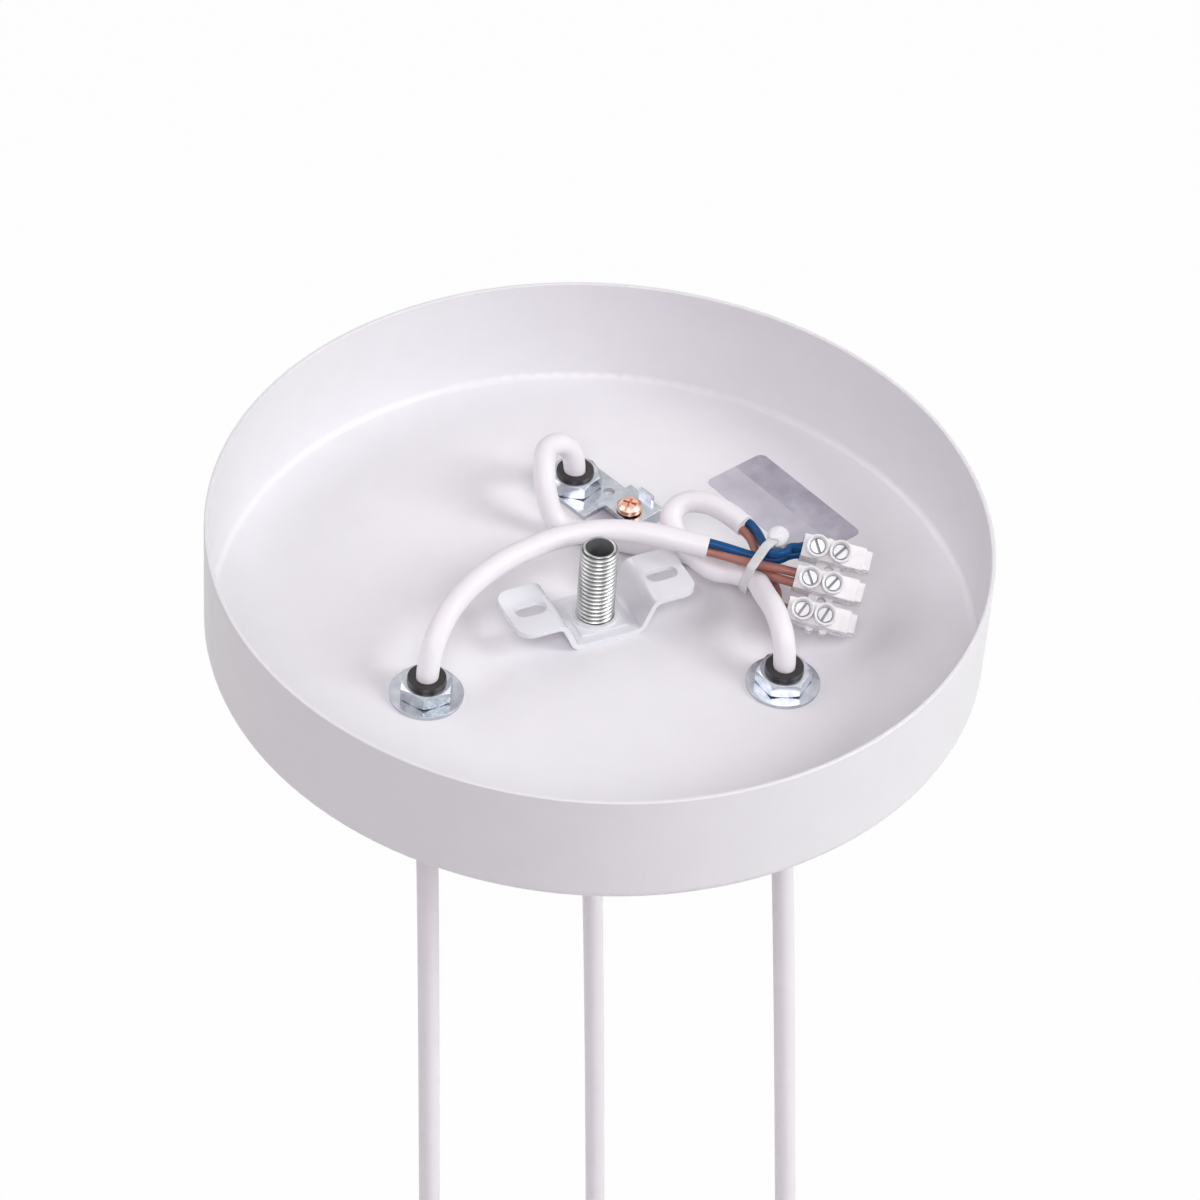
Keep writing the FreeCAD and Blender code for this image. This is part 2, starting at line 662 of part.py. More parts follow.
def rounded_path(points):
    """Straight runs joined by tangent arcs, each as large as its two runs allow."""
    points = [Vector(*p) for p in points]
    edges = []
    radii = []
    start = points[0]
    for before, corner, after in zip(points, points[1:], points[2:]):
        way_in = (corner - before).normalize()
        way_out = (after - corner).normalize()
        half_turn = way_in.getAngle(way_out) / 2
        reach = 0.45 * min((corner - before).Length, (after - corner).Length)
        radii.append(reach / math.tan(half_turn))
        arc_start = corner - way_in * reach
        arc_end = corner + way_out * reach
        bisector = (way_out - way_in).normalize()
        centre = corner + bisector * (reach / math.sin(half_turn))
        middle = centre - bisector * radii[-1]
        edges.append(Part.LineSegment(start, arc_start).toShape())
        edges.append(Part.Arc(arc_start, middle, arc_end).toShape())
        start = arc_end
    edges.append(Part.LineSegment(start, points[-1]).toShape())
    return Part.Wire(edges), radii


def tube_along(label, points, radius):
    """A round tube along a rounded path, checked against section times length."""
    path, radii = rounded_path(points)
    heading = Vector(*points[1]) - Vector(*points[0])
    ring = Part.Wire([Part.Circle(Vector(*points[0]), heading, radius).toShape()])
    tube = path.makePipeShell([ring], True, False)
    wanted = math.pi * radius ** 2 * path.Length
    print("%-22s length %6.1f  volume ratio %.4f  radii %s" % (
        label, path.Length, tube.Volume / wanted, " ".join("%.1f" % r for r in radii)))
    return tube


def feature(label, shape, placement=None):
    item = doc.addObject("Part::Feature", label)
    item.Shape = shape
    if placement is not None:
        item.Placement = placement
    return item


def straight_up(name, low, high):
    """The two points of a cable's upright stretch through its cord grip."""
    return [tuple(grip_point(name, low)), tuple(grip_point(name, high))]


def build_cables():
    """Inner leads, hanging cables, cores and the lamp holders at the far ends."""
    underside = -size("ear_level")
    split = underside + SPLIT_LEVEL
    for name in BEARINGS:
        inner = straight_up(name, split, underside + LEAD_RISE[name]) + LEAD_ROUTES[name]
        feature("lead_" + name, tube_along("lead_" + name, inner, size("cable_radius")))
        outer = straight_up(name, split, FALL_START) + FALLS[name]
        feature("cable_" + name, tube_along("cable_" + name, outer, size("cable_radius")))
        build_lamp_holder(name, Vector(*FALLS[name][-1]), Vector(*FALLS[name][-1]) - Vector(*FALLS[name][-2]))
    for name, route in CORE_ROUTES.items():
        sleeve = tube_along("core_" + name, route, size("core_radius"))
        feature("core_" + name, sleeve.fuse(build_strand(name)).removeSplitter())


def build_strand(name):
    """The bared copper end of a core, gathered into the terminal's bore."""
    pole, across, up = CORE_MOUTHS[name]
    line = POLES[pole] * size("pole_pitch")
    gather = size("strand_radius") * 1.3 / max(math.hypot(across, up), 1.0)
    local = [(-5.7, across, up), (-4.5, across * gather, up * gather), (-1.2, across * gather, up * gather)]
    place = block_place()
    points = [tuple(place.multVec(Vector(x, line + y, z))) for x, y, z in local]
    if across == 0.0 and up == 0.0:
        return tube_along("strand_" + name, [points[0], points[-1]], size("strand_radius"))
    return tube_along("strand_" + name, points, size("strand_radius"))


def build_lamp_holder(name, end, fall):
    """A plain lamp holder closed round the cable's lower end: neck, shoulder and open skirt."""
    skirt_top = "holder_grip - holder_neck_length - holder_dome"
    neck = cylinder("holder_neck_solid_" + name, "holder_neck", "holder_neck_length",
                    up="holder_grip - holder_neck_length")
    dome = cone("holder_dome_solid_" + name, "holder_radius", "holder_neck", "holder_dome", up=skirt_top)
    skirt = cylinder("holder_skirt_solid_" + name, "holder_radius", "holder_skirt",
                     up=skirt_top + " - holder_skirt")
    ring = cylinder("holder_ring_solid_" + name, "holder_radius + 1", "4", up=skirt_top + " - 4")
    hollow = cylinder("holder_hollow_" + name, "holder_radius - holder_wall", "holder_skirt",
                      up=skirt_top + " - holder_skirt - 3")
    bore = cylinder("holder_bore_" + name, "cable_radius + fit_gap", "2 * holder_grip")
    blank = fuse("holder_blank_" + name, [neck, dome, skirt, ring])
    holder = cut("lamp_holder_" + name, blank, [hollow, bore])
    holder.Placement = Placement(end, Rotation(Vector(0, 0, 1), fall.negative()))


# Cross-section of the tied bundle: the sheath of the right lead and the cores beside it.
TIE_MIDDLE = (38.07, -8.81, -0.2)
TIE_ACROSS = (0.8966, 0.4187, 0.1439)
TIE_UP = (-0.0647, -0.1976, 0.9781)
TIE_HEAD = (13.1, 6.3)
TIE_HEAD_AXIS = (-0.346, -0.657, 0.669)
TIE_GAP = 0.12


def hull_wire(rounds, grow):
    """A closed belt round several circles, taken anticlockwise."""
    edges = []
    spans = []
    for (x, y, r), (u, v, w) in zip(rounds, rounds[1:] + rounds[:1]):
        lean = math.atan2(v - y, u - x) - math.acos((r - w) / math.hypot(u - x, v - y))
        spans.append((lean, Vector(x, y, 0), r + grow, Vector(u, v, 0), w + grow))
    for i, (lean, here, r, there, w) in enumerate(spans):
        normal = Vector(math.cos(lean), math.sin(lean), 0)
        onward = spans[(i + 1) % len(spans)][0]
        sweep = (onward - lean) % math.tau
        crown = Vector(math.cos(lean + sweep / 2), math.sin(lean + sweep / 2), 0)
        leave = Vector(math.cos(onward), math.sin(onward), 0)
        edges.append(Part.LineSegment(here + normal * r, there + normal * w).toShape())
        edges.append(Part.Arc(there + normal * w, there + crown * w, there + leave * w).toShape())
    return Part.Wire(edges)


def build_tie():
    """Nylon cable tie: a belt round the bundle and a round head behind it."""
    core, cable, nose = size("core_radius"), size("cable_radius"), size("tie_sheet")
    rounds = [
        (0.0, 0.0, cable),
        (0.12, -7.1, core),
        (TIE_HEAD[0] - nose, TIE_HEAD[1], nose),
        (8.64, 7.87, core),
        (3.26, 5.65, core),
        (0.46, 4.3, core),
    ]
    inner = Part.Face(hull_wire(rounds, TIE_GAP))
    belt = Part.Face(hull_wire(rounds, TIE_GAP + size("tie_sheet"))).cut(inner)
    width = size("tie_width")
    band = belt.extrude(Vector(0, 0, width))
    band.translate(Vector(0, 0, -width / 2))
    across, up = Vector(*TIE_ACROSS), Vector(*TIE_UP)
    frame = Placement(Vector(*TIE_MIDDLE), Rotation(across, up, across.cross(up), "ZXY"))
    axis = frame.Rotation.inverted().multVec(Vector(*TIE_HEAD_AXIS))
    height = size("tie_head_height")
    start = Vector(TIE_HEAD[0], TIE_HEAD[1], 0) - axis * height / 2
    head = Part.makeCylinder(size("tie_head"), height, start, axis)
    feature("cable_tie", band.fuse(head).removeSplitter(), frame)


def build_label():
    """Foil rating plate stuck to the floor, left blank."""
    body = doc.addObject("PartDesign::Body", "rating_label")
    plan = sketch_on(body, "XY_Plane", "label_outline")
    outline(plan, [
        ("-label_length / 2", "-label_width / 2"),
        ("label_length / 2", "-label_width / 2"),
        ("label_length / 2", "label_width / 2"),
        ("-label_length / 2", "label_width / 2"),
    ])
    foil = pad(body, plan, "label_foil", "label_sheet")
    fillet(body, foil, "label_corners", "label_corner", lambda e, m, d: near(abs(d.z), size("label_sheet")))
    spot = Vector(size("label_east"), size("label_north"), 0)
    body.Placement = Placement(spot, Rotation(size("label_bearing"), 0, 0))
    bind(body, Placement__Base__z=FLOOR)


NODES = ["canopy", "mounting_bracket", "threaded_tube", "tube_washer", "tube_nut", "earth_plate", "earth_screw",
         "terminal_housing", "cable_tie", "rating_label"]
NODES += ["cord_grip_" + name for name in BEARINGS]
NODES += ["grip_nut_" + name for name in BEARINGS]
NODES += ["grip_washer_left", "grip_washer_right"]
NODES += ["brass_insert_" + pole for pole in POLES]
NODES += ["clamp_screw_%s_%s" % key for key in SLOT_TURNS]
NODES += ["lead_" + name for name in BEARINGS]
NODES += ["cable_" + name for name in BEARINGS]
NODES += ["lamp_holder_" + name for name in BEARINGS]
NODES += ["core_" + name for name in CORE_ROUTES]

build_canopy()
build_bracket()
build_stem()
build_lock()
build_grips()
build_earth()
build_housing()
build_clamps()
build_cables()
build_tie()
build_label()
doc.recompute()

for thing in doc.Objects:
    if "Invalid" in thing.State or "Error" in thing.State:
        raise RuntimeError("%s failed: %s" % (thing.Name, thing.State))

for node in NODES:
    item = doc.getObject(node)
    item.Label = node
    shape = item.Shape
    if shape.isNull() or not shape.isValid() or len(shape.Solids) != 1:
        raise RuntimeError("%s is not one sound solid (%d solids, valid %s)" % (
            node, len(shape.Solids), shape.isValid()))
    shape.exportStep("parts/%s.step" % node)
print("%d parts written" % len(NODES))
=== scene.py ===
"""Looks of the electrical ceiling rose: materials, smooth cables, thread and tie, camera, light.

Places are in millimetres in the part's frame unless a comment says metres.
"""
import json
import math
import bpy
from mathutils import Matrix, Vector


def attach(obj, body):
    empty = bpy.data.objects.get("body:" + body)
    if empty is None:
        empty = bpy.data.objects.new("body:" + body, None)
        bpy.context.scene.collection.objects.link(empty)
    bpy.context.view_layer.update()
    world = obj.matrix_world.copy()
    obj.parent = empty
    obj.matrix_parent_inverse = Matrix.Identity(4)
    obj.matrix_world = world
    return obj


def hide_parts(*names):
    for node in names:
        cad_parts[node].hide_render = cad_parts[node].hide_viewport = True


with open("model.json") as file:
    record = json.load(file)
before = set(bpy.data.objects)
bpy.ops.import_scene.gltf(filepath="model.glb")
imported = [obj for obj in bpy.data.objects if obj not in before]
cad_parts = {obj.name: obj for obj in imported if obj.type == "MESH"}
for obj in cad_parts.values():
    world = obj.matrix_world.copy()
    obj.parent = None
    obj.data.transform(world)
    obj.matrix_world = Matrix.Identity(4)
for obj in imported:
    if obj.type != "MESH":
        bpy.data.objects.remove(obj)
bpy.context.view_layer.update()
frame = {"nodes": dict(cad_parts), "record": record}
nodes = frame["nodes"]
MM = 0.001

# The photograph's camera, in metres and pixels.
CAMERA_AZIMUTH = math.radians(27.76)
CAMERA_HEIGHT = math.radians(42.03)
CAMERA_ROLL = math.radians(4.18)
CAMERA_DISTANCE = 1.2
LOOK_AT = Vector((0.0, 0.0, -0.011))
PHOTO_SIDE = 1200
FOCAL_PIXELS = 4668
LOOK_AT_PIXEL = (594.24, 623.22)
SENSOR_WIDTH = 36.0


def make_camera():
    """A camera at the photograph's angle, leaning with its small roll."""
    back = Vector((
        -math.sin(CAMERA_AZIMUTH) * math.cos(CAMERA_HEIGHT),
        -math.cos(CAMERA_AZIMUTH) * math.cos(CAMERA_HEIGHT),
        math.sin(CAMERA_HEIGHT),
    ))
    right = Vector((math.cos(CAMERA_AZIMUTH), -math.sin(CAMERA_AZIMUTH), 0.0))
    up = back.cross(right)
    leaning_right = right * math.cos(CAMERA_ROLL) + up * math.sin(CAMERA_ROLL)
    leaning_up = back.cross(leaning_right)
    data = bpy.data.cameras.new("camera")
    data.sensor_width = SENSOR_WIDTH
    data.lens = FOCAL_PIXELS / PHOTO_SIDE * data.sensor_width
    data.shift_x = (PHOTO_SIDE / 2 - LOOK_AT_PIXEL[0]) / PHOTO_SIDE
    data.shift_y = (LOOK_AT_PIXEL[1] - PHOTO_SIDE / 2) / PHOTO_SIDE
    camera = bpy.data.objects.new("camera", data)
    bpy.context.scene.collection.objects.link(camera)
    turn = Matrix((leaning_right, leaning_up, back)).transposed().to_4x4()
    camera.matrix_world = Matrix.Translation(LOOK_AT + back * CAMERA_DISTANCE) @ turn
    bpy.context.scene.camera = camera


make_camera()

EVEN = (1.0, 1.0, 1.0)
LENGTHWISE = (1.0, 1.0, 0.2)
GLOSS_GRAIN = 400.0
# The stretch of a noise's values that a colour ramp and a gloss range are laid over.
RAMP_START, RAMP_STOP = 0.35, 0.65
GLOSS_START, GLOSS_STOP = 0.3, 0.7


def noise(tree, scale, detail=3.0, roughness=0.55, stretch=EVEN):
    """A noise pattern fixed to the part, in turns per metre."""
    place = tree.nodes.new("ShaderNodeTexCoord")
    mapping = tree.nodes.new("ShaderNodeMapping")
    mapping.inputs["Scale"].default_value = stretch
    texture = tree.nodes.new("ShaderNodeTexNoise")
    texture.inputs["Scale"].default_value = scale
    texture.inputs["Detail"].default_value = detail
    texture.inputs["Roughness"].default_value = roughness
    tree.links.new(place.outputs["Object"], mapping.inputs["Vector"])
    tree.links.new(mapping.outputs["Vector"], texture.inputs["Vector"])
    return texture.outputs["Fac"]


def ramp(tree, source, low, high):
    """A colour that goes from low to high with a noise."""
    node = tree.nodes.new("ShaderNodeValToRGB")
    node.color_ramp.elements[0].position = RAMP_START
    node.color_ramp.elements[0].color = (*low, 1.0)
    node.color_ramp.elements[1].position = RAMP_STOP
    node.color_ramp.elements[1].color = (*high, 1.0)
    tree.links.new(source, node.inputs["Fac"])
    return node.outputs["Color"]


def share_between(tree, source, start, stop, low=0.0, high=1.0):
    """A value that goes from low to high while source goes from start to stop."""
    node = tree.nodes.new("ShaderNodeMapRange")
    node.inputs["From Min"].default_value = start
    node.inputs["From Max"].default_value = stop
    node.inputs["To Min"].default_value = low
    node.inputs["To Max"].default_value = high
    tree.links.new(source, node.inputs["Value"])
    return node.outputs["Result"]


def colour_mix(tree, share):
    """A mix of two colours by share: its two colour inputs and its result."""
    mix = tree.nodes.new("ShaderNodeMix")
    mix.data_type = "RGBA"
    tree.links.new(share, mix.inputs["Factor"])
    first, second = [socket for socket in mix.inputs if socket.type == "RGBA"]
    result = next(socket for socket in mix.outputs if socket.type == "RGBA")
    return first, second, result


def finish(name, tint, shade, rough, bumps, edge=0.0, blotch=90.0, **sockets):
    """A surface whose colour, gloss and relief vary finely.

    It wavers between the colours tint and shade, in patches of blotch to a metre, and
    between the two values of rough. bumps lists (scale, height in metres, stretch), and
    edge is the radius in metres that its edges seem to have."""
    material = bpy.data.materials.new(name)
    material.use_nodes = True
    tree = material.node_tree
    shader = tree.nodes["Principled BSDF"]
    tree.links.new(ramp(tree, noise(tree, blotch, 4.0), shade, tint), shader.inputs["Base Color"])
    gloss = share_between(tree, noise(tree, GLOSS_GRAIN), GLOSS_START, GLOSS_STOP, *rough)
    tree.links.new(gloss, shader.inputs["Roughness"])
    previous = None
    if edge:
        bevel = tree.nodes.new("ShaderNodeBevel")
        bevel.samples = 4
        bevel.inputs["Radius"].default_value = edge
        previous = bevel.outputs["Normal"]
    for scale, height, stretch in bumps:
        bump = tree.nodes.new("ShaderNodeBump")
        bump.inputs["Strength"].default_value = 1.0
        bump.inputs["Distance"].default_value = height
        tree.links.new(noise(tree, scale, 2.0, 0.5, stretch), bump.inputs["Height"])
        if previous is not None:
            tree.links.new(previous, bump.inputs["Normal"])
        previous = bump.outputs["Normal"]
    tree.links.new(previous, shader.inputs["Normal"])
    for socket, value in sockets.items():
        shader.inputs[socket.replace("_", " ")].default_value = value
    return material


def along(tree, axis):
    """How far in metres a point of the part lies along an axis."""
    place = tree.nodes.new("ShaderNodeTexCoord")
    product = tree.nodes.new("ShaderNodeVectorMath")
    product.operation = "DOT_PRODUCT"
    product.inputs[1].default_value = axis
    tree.links.new(place.outputs["Object"], product.inputs[0])
    return product.outputs["Value"]


def from_axis(tree):
    """How far in metres a point of the part lies from the axis of the rose."""
    place = tree.nodes.new("ShaderNodeTexCoord")
    flat = tree.nodes.new("ShaderNodeVectorMath")
    flat.operation = "MULTIPLY"
    flat.inputs[1].default_value = (1.0, 1.0, 0.0)
    size = tree.nodes.new("ShaderNodeVectorMath")
    size.operation = "LENGTH"
    tree.links.new(place.outputs["Object"], flat.inputs[0])
    tree.links.new(flat.outputs["Vector"], size.inputs[0])
    return size.outputs["Value"]


def darken(material, depth, low, high, dark):
    """Painted shade: the material's colour turns dark where depth, a socket, falls from high to
    low.
    """
    tree = material.node_tree
    base = tree.nodes["Principled BSDF"].inputs["Base Color"]
    plain = base.links[0].from_socket
    deep, open_to_light, result = colour_mix(tree, share_between(tree, depth, low, high))
    deep.default_value = (*dark, 1.0)
    tree.links.new(plain, open_to_light)
    tree.links.new(result, base)


# The label's split, in metres along LABEL_ACROSS.
LABEL_ACROSS = (0.9677, 0.2521, 0.0)
LABEL_SPLIT = 0.0693
SPLIT_BLUR = 0.0001


def two_fields(material):
    """The label's foil in two plain fields of colour, split along its length."""
    tree = material.node_tree
    step = share_between(tree, along(tree, LABEL_ACROSS),
                         LABEL_SPLIT - SPLIT_BLUR, LABEL_SPLIT + SPLIT_BLUR)
    first, second, result = colour_mix(tree, step)
    light = ramp(tree, noise(tree, 70.0), (0.50, 0.48, 0.55), (0.64, 0.615, 0.68))
    dark = ramp(tree, noise(tree, 170.0), (0.40, 0.38, 0.45), (0.53, 0.51, 0.58))
    tree.links.new(light, first)
    tree.links.new(dark, second)
    tree.links.new(result, tree.nodes["Principled BSDF"].inputs["Base Color"])


FINISHES = {
    "white_coat": finish(
        "powder_coat", (0.835, 0.822, 0.850), (0.820, 0.807, 0.835), (0.32, 0.42),
        [(1400.0, 0.00002, EVEN), (260.0, 0.00005, EVEN)]),
    "bracket_coat": finish(
        "bracket_coat", (0.82, 0.82, 0.865), (0.805, 0.805, 0.85), (0.16, 0.28),
        [(1600.0, 0.00002, EVEN)], edge=0.0003, Coat_Weight=0.5, Coat_Roughness=0.12),
    "zinc": finish(
        "zinc_plate", (0.60, 0.61, 0.61), (0.42, 0.43, 0.44), (0.18, 0.34),
        [(2500.0, 0.00001, EVEN)], edge=0.0001, Metallic=1.0),
    "bright_plate": finish(
        "bright_plate", (0.58, 0.60, 0.64), (0.46, 0.48, 0.53), (0.12, 0.28),
        [(1200.0, 0.00001, LENGTHWISE), (500.0, 0.00003, EVEN)],
        edge=0.0002, Metallic=1.0, blotch=250.0),
    "copper_screw": finish(
        "copper_screw", (0.93, 0.62, 0.51), (0.66, 0.33, 0.24), (0.22, 0.42),
        [(2500.0, 0.00001, EVEN), (700.0, 0.00018, EVEN)],
        edge=0.0002, Metallic=1.0, blotch=900.0),
    "black_moulding": finish(
        "black_moulding", (0.036, 0.030, 0.031), (0.020, 0.017, 0.018), (0.30, 0.48),
        [(2400.0, 0.00003, EVEN)], edge=0.0003, Specular_IOR_Level=0.35),
    "terminal_moulding": finish(
        "terminal_moulding", (0.90, 0.885, 0.90), (0.875, 0.86, 0.875), (0.22, 0.34),
        [(1500.0, 0.00001, EVEN)], edge=0.0003,
        Subsurface_Weight=0.4, Subsurface_Scale=0.002, Subsurface_Radius=EVEN),
    "clamp_steel": finish(
        "clamp_steel", (0.56, 0.56, 0.58), (0.40, 0.40, 0.42), (0.26, 0.44),
        [(2200.0, 0.00002, EVEN)], edge=0.0001, Metallic=1.0),
    "terminal_brass": finish(
        "terminal_brass", (0.80, 0.62, 0.33), (0.66, 0.50, 0.26), (0.25, 0.4),
        [(2000.0, 0.00001, EVEN)], Metallic=1.0),
    "tie_moulding": finish(
        "tie_moulding", (0.90, 0.90, 0.91), (0.86, 0.86, 0.875), (0.25, 0.40),
        [(1800.0, 0.00001, EVEN)], edge=0.0002, Transmission_Weight=0.3, IOR=1.45,
        Subsurface_Weight=0.3, Subsurface_Scale=0.0012, Subsurface_Radius=EVEN),
    "white_sheath": finish(
        "white_sheath", (0.90, 0.87, 0.905), (0.88, 0.85, 0.885), (0.36, 0.5),
        [(900.0, 0.00002, EVEN), (160.0, 0.00005, EVEN)],
        Subsurface_Weight=0.1, Subsurface_Scale=0.0012, Subsurface_Radius=EVEN),
    "blue_sleeve": finish(
        "blue_sleeve", (0.004, 0.075, 0.23), (0.003, 0.058, 0.18), (0.26, 0.4),
        [(1500.0, 0.00001, EVEN)], Specular_IOR_Level=0.2),
    "brown_sleeve": finish(
        "brown_sleeve", (0.42, 0.185, 0.148), (0.33, 0.135, 0.106), (0.26, 0.4),
        [(1500.0, 0.00001, EVEN)], Specular_IOR_Level=0.3),
    "foil": finish(
        "foil", (0.60, 0.59, 0.64), (0.53, 0.52, 0.57), (0.28, 0.42),
        [(700.0, 0.00001, EVEN)], Metallic=0.5),
    "holder_moulding": finish(
        "holder_moulding", (0.85, 0.84, 0.85), (0.82, 0.81, 0.82), (0.2, 0.3),
        [(350.0, 0.00001, EVEN)], edge=0.0004),
    # The bore's finish is near black: painted shade inside the hollow tube.
    "bore_painted_shade": finish(
        "bore_painted_shade", (0.20, 0.20, 0.205), (0.12, 0.12, 0.125), (0.4, 0.6),
        [(1800.0, 0.00002, EVEN)], Metallic=0.8),
    "tube_thread": finish(
        "tube_thread", (0.60, 0.60, 0.595), (0.44, 0.44, 0.44), (0.28, 0.44),
        [(2500.0, 0.00001, EVEN)], Metallic=1.0),
}
two_fields(FINISHES["foil"])

# Painted shade in the furrows of the tube's thread, between two radii in metres.
THREAD_DEEP, THREAD_OPEN = 0.00436, 0.00482
THREAD_SHADE = (0.16, 0.16, 0.16)
darken(FINISHES["tube_thread"], from_axis(FINISHES["tube_thread"].node_tree),
       THREAD_DEEP, THREAD_OPEN, THREAD_SHADE)

# Painted shade in the slots of the clamp screws, between two heights in metres along BLOCK_UP.
BLOCK_UP = (-0.2606, -0.5596, 0.7867)
SLOT_FLOOR = 0.00475
SLOT_EDGE = SLOT_FLOOR + 0.0004
SLOT_SHADE = (0.18, 0.18, 0.19)
darken(FINISHES["clamp_steel"], along(FINISHES["clamp_steel"].node_tree, BLOCK_UP),
       SLOT_FLOOR, SLOT_EDGE, SLOT_SHADE)

# Each node wears the finish of its slot, and the clamp screws a duller one than the zinc.
SLOT_OF = {part["node"]: part["material_slot"] for part in frame["record"]["subparts"]}
for node, item in nodes.items():
    item.data.materials.clear()
    slot = "clamp_steel" if node.startswith("clamp_screw") else SLOT_OF[node]
    item.data.materials.append(FINISHES[slot])


def cable(name, route, diameter, node, slot):
    """A smooth round cable whose spline has the route as its control points."""
    data = bpy.data.curves.new(name, "CURVE")
    data.dimensions = "3D"
    data.bevel_depth = diameter / 2
    data.bevel_resolution = 8
    data.resolution_u = 14
    data.use_fill_caps = True
    spline = data.splines.new("NURBS")
    spline.points.add(len(route) - 1)
    for point, place in zip(spline.points, route):
        point.co = (place[0] * MM, place[1] * MM, place[2] * MM, 1.0)
    spline.order_u = 3
    spline.use_endpoint_u = True
    data.materials.append(FINISHES[slot])
    item = bpy.data.objects.new(name, data)
    bpy.context.scene.collection.objects.link(item)
    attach(item, "rose")
    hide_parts(node)
    return item


# Diameters over the sheath and over a core's insulation, in metres.
CABLE = 0.0058
CORE = 0.0024

# Route and length in metres of each cable below its grip.
HANGING = {
    "left": ([
        (-51.45, -9.96, -8.5), (-51.45, -9.96, -36.0), (-48.93, -11.29, -75.0),
        (-42.89, -14.47, -298.0),
    ], 0.289),
    "right": ([
        (34.36, -39.58, -8.5), (34.36, -39.58, -36.0), (39.47, -42.27, -72.0),
        (55.82, -50.87, -298.0),
    ], 0.290),
    "rear": ([
        (17.1, 49.54, -8.5), (17.1, 49.54, -36.0), (26.88, 44.39, -111.0),
        (36.46, 39.36, -310.0),
    ], 0.302),
}
for side, (route, length) in HANGING.items():
    item = cable("hanging_cable_" + side, route, CABLE, "cable_" + side, "white_sheath")

# Route and length in metres of each lead, from its grip to the end of its sheath.
LEADS = {
    "left": ([
        (-51.45, -9.96, -8.5), (-51.45, -9.96, 2.0), (-44.94, -4.68, 10.0),
        (-35.81, 1.86, 11.3), (-25.21, 7.12, 11.6), (-14.65, 10.15, 11.3),
        (-3.56, 12.22, 10.3), (6.96, 11.63, 9.3), (16.61, 8.41, 8.0),
        (23.79, 3.64, 7.2), (30.68, -1.18, 6.2),
    ], 0.1047),
    "right": ([
        (34.36, -39.58, -8.5), (34.36, -39.58, 2.0), (35.8, -30.8, 6.6),
        (37.5, -19.5, 3.8), (40.9, -10.2, -0.8), (36.14, -4.91, -1.2),
        (32.0, -2.35, -1.5), (28.84, 3.52, 0.2), (27.19, 10.45, 1.6),
        (28.28, 16.64, 3.8), (32.92, 17.63, 6.0), (37.76, 14.06, 7.0),
        (41.11, 8.5, 7.0), (43.0, 2.32, 6.6),
    ], 0.0963),
    "rear": ([
        (17.1, 49.54, -8.5), (17.1, 49.54, -0.5), (13.7, 49.66, 6.84),
        (7.59, 48.46, 8.17), (4.62, 43.43, 7.6), (2.9, 38.45, 2.5),
        (4.4, 34.67, -6.6), (10.18, 29.0, -6.8), (17.91, 22.22, -6.8),
        (27.77, 14.6, -6.8), (34.66, 9.66, -6.7), (41.76, 2.71, -6.32),
    ], 0.0930),
}
for side, (route, length) in LEADS.items():
    item = cable("inner_lead_" + side, route, CABLE, "lead_" + side, "white_sheath")

# Route of each core, from the end of its sheath to the terminal block.
CORES = {
    "blue_left": [
        (31.02, -0.97, 7.35), (33.46, -2.68, 7.0), (41.39, -8.18, 4.9),
        (45.6, -11.78, 5.3), (49.27, -11.68, 6.6), (52.38, -13.23, 6.75),
    ],
    "brown_left": [
        (30.37, -1.41, 5.04), (32.81, -3.12, 4.69), (38.54, -8.78, 4.6),
        (43.35, -12.9, 4.9), (45.94, -15.34, 5.04), (49.05, -17.48, 4.55),
    ],
    "blue_right": [
        (44.02, 2.57, 7.23), (44.89, -0.29, 7.04), (43.7, -6.87, 7.4),
        (43.2, -11.2, 8.1), (46.57, -13.71, 9.3), (49.34, -11.56, 9.3),
        (52.45, -13.7, 8.75),
    ],
    "brown_right": [
        (41.99, 2.03, 5.97), (42.87, -0.83, 5.79), (42.69, -4.38, 4.62),
        (42.06, -8.44, 2.88), (42.7, -12.81, 2.28), (44.73, -16.68, 3.18),
        (47.84, -18.81, 2.69),
    ],
    "blue_rear": [
        (41.24, 2.6, -5.21), (43.02, 0.85, -5.11), (44.91, -0.26, -3.6),
        (46.4, -2.08, -1.2), (46.75, -8.67, 3.4), (50.3, -10.15, 6.9),
        (53.66, -11.7, 7.8),
    ],
    "brown_rear": [
        (41.86, 3.24, -7.47), (43.65, 1.49, -7.37), (44.97, -1.75, -6.2),
        (45.55, -6.07, -4.2), (45.16, -11.08, -2.0), (43.65, -16.84, -1.2),
        (41.02, -21.13, -0.96), (44.13, -23.26, -1.45),
    ],
}
for name, route in CORES.items():
    colour = name.split("_")[0]
    cable("core_sleeve_" + name, route, CORE, "core_" + name, colour + "_sleeve")


def mesh_piece(name, verts, faces, node, slot):
    """A smooth-shaded piece of the rose that stands in for a CAD node."""
    data = bpy.data.meshes.new(name)
    data.from_pydata(verts, [], faces)
    data.validate()
    data.shade_smooth()
    data.materials.append(FINISHES[slot])
    item = bpy.data.objects.new(name, data)
    bpy.context.scene.collection.objects.link(item)
    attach(item, "rose")
    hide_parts(node)
    return item


TUBE_SIDES = 72
TUBE_CHAMFER = 0.2
CREST_ROUND = 0.06
FLANK_FOOT = 0.3
# Faces this near to the bore wear the bore's finish, a painted shade that darkens the inside of
# the tube, and faces this near to the ends wear the finish of the ends.
BORE_ZONE = 0.15
END_ZONE = 0.1


def on_tube(radius, height, step):
    """The place in metres of one corner of the tube's mesh."""
    angle = math.tau * step / TUBE_SIDES
    return (radius * math.cos(angle) * MM, radius * math.sin(angle) * MM, height * MM)


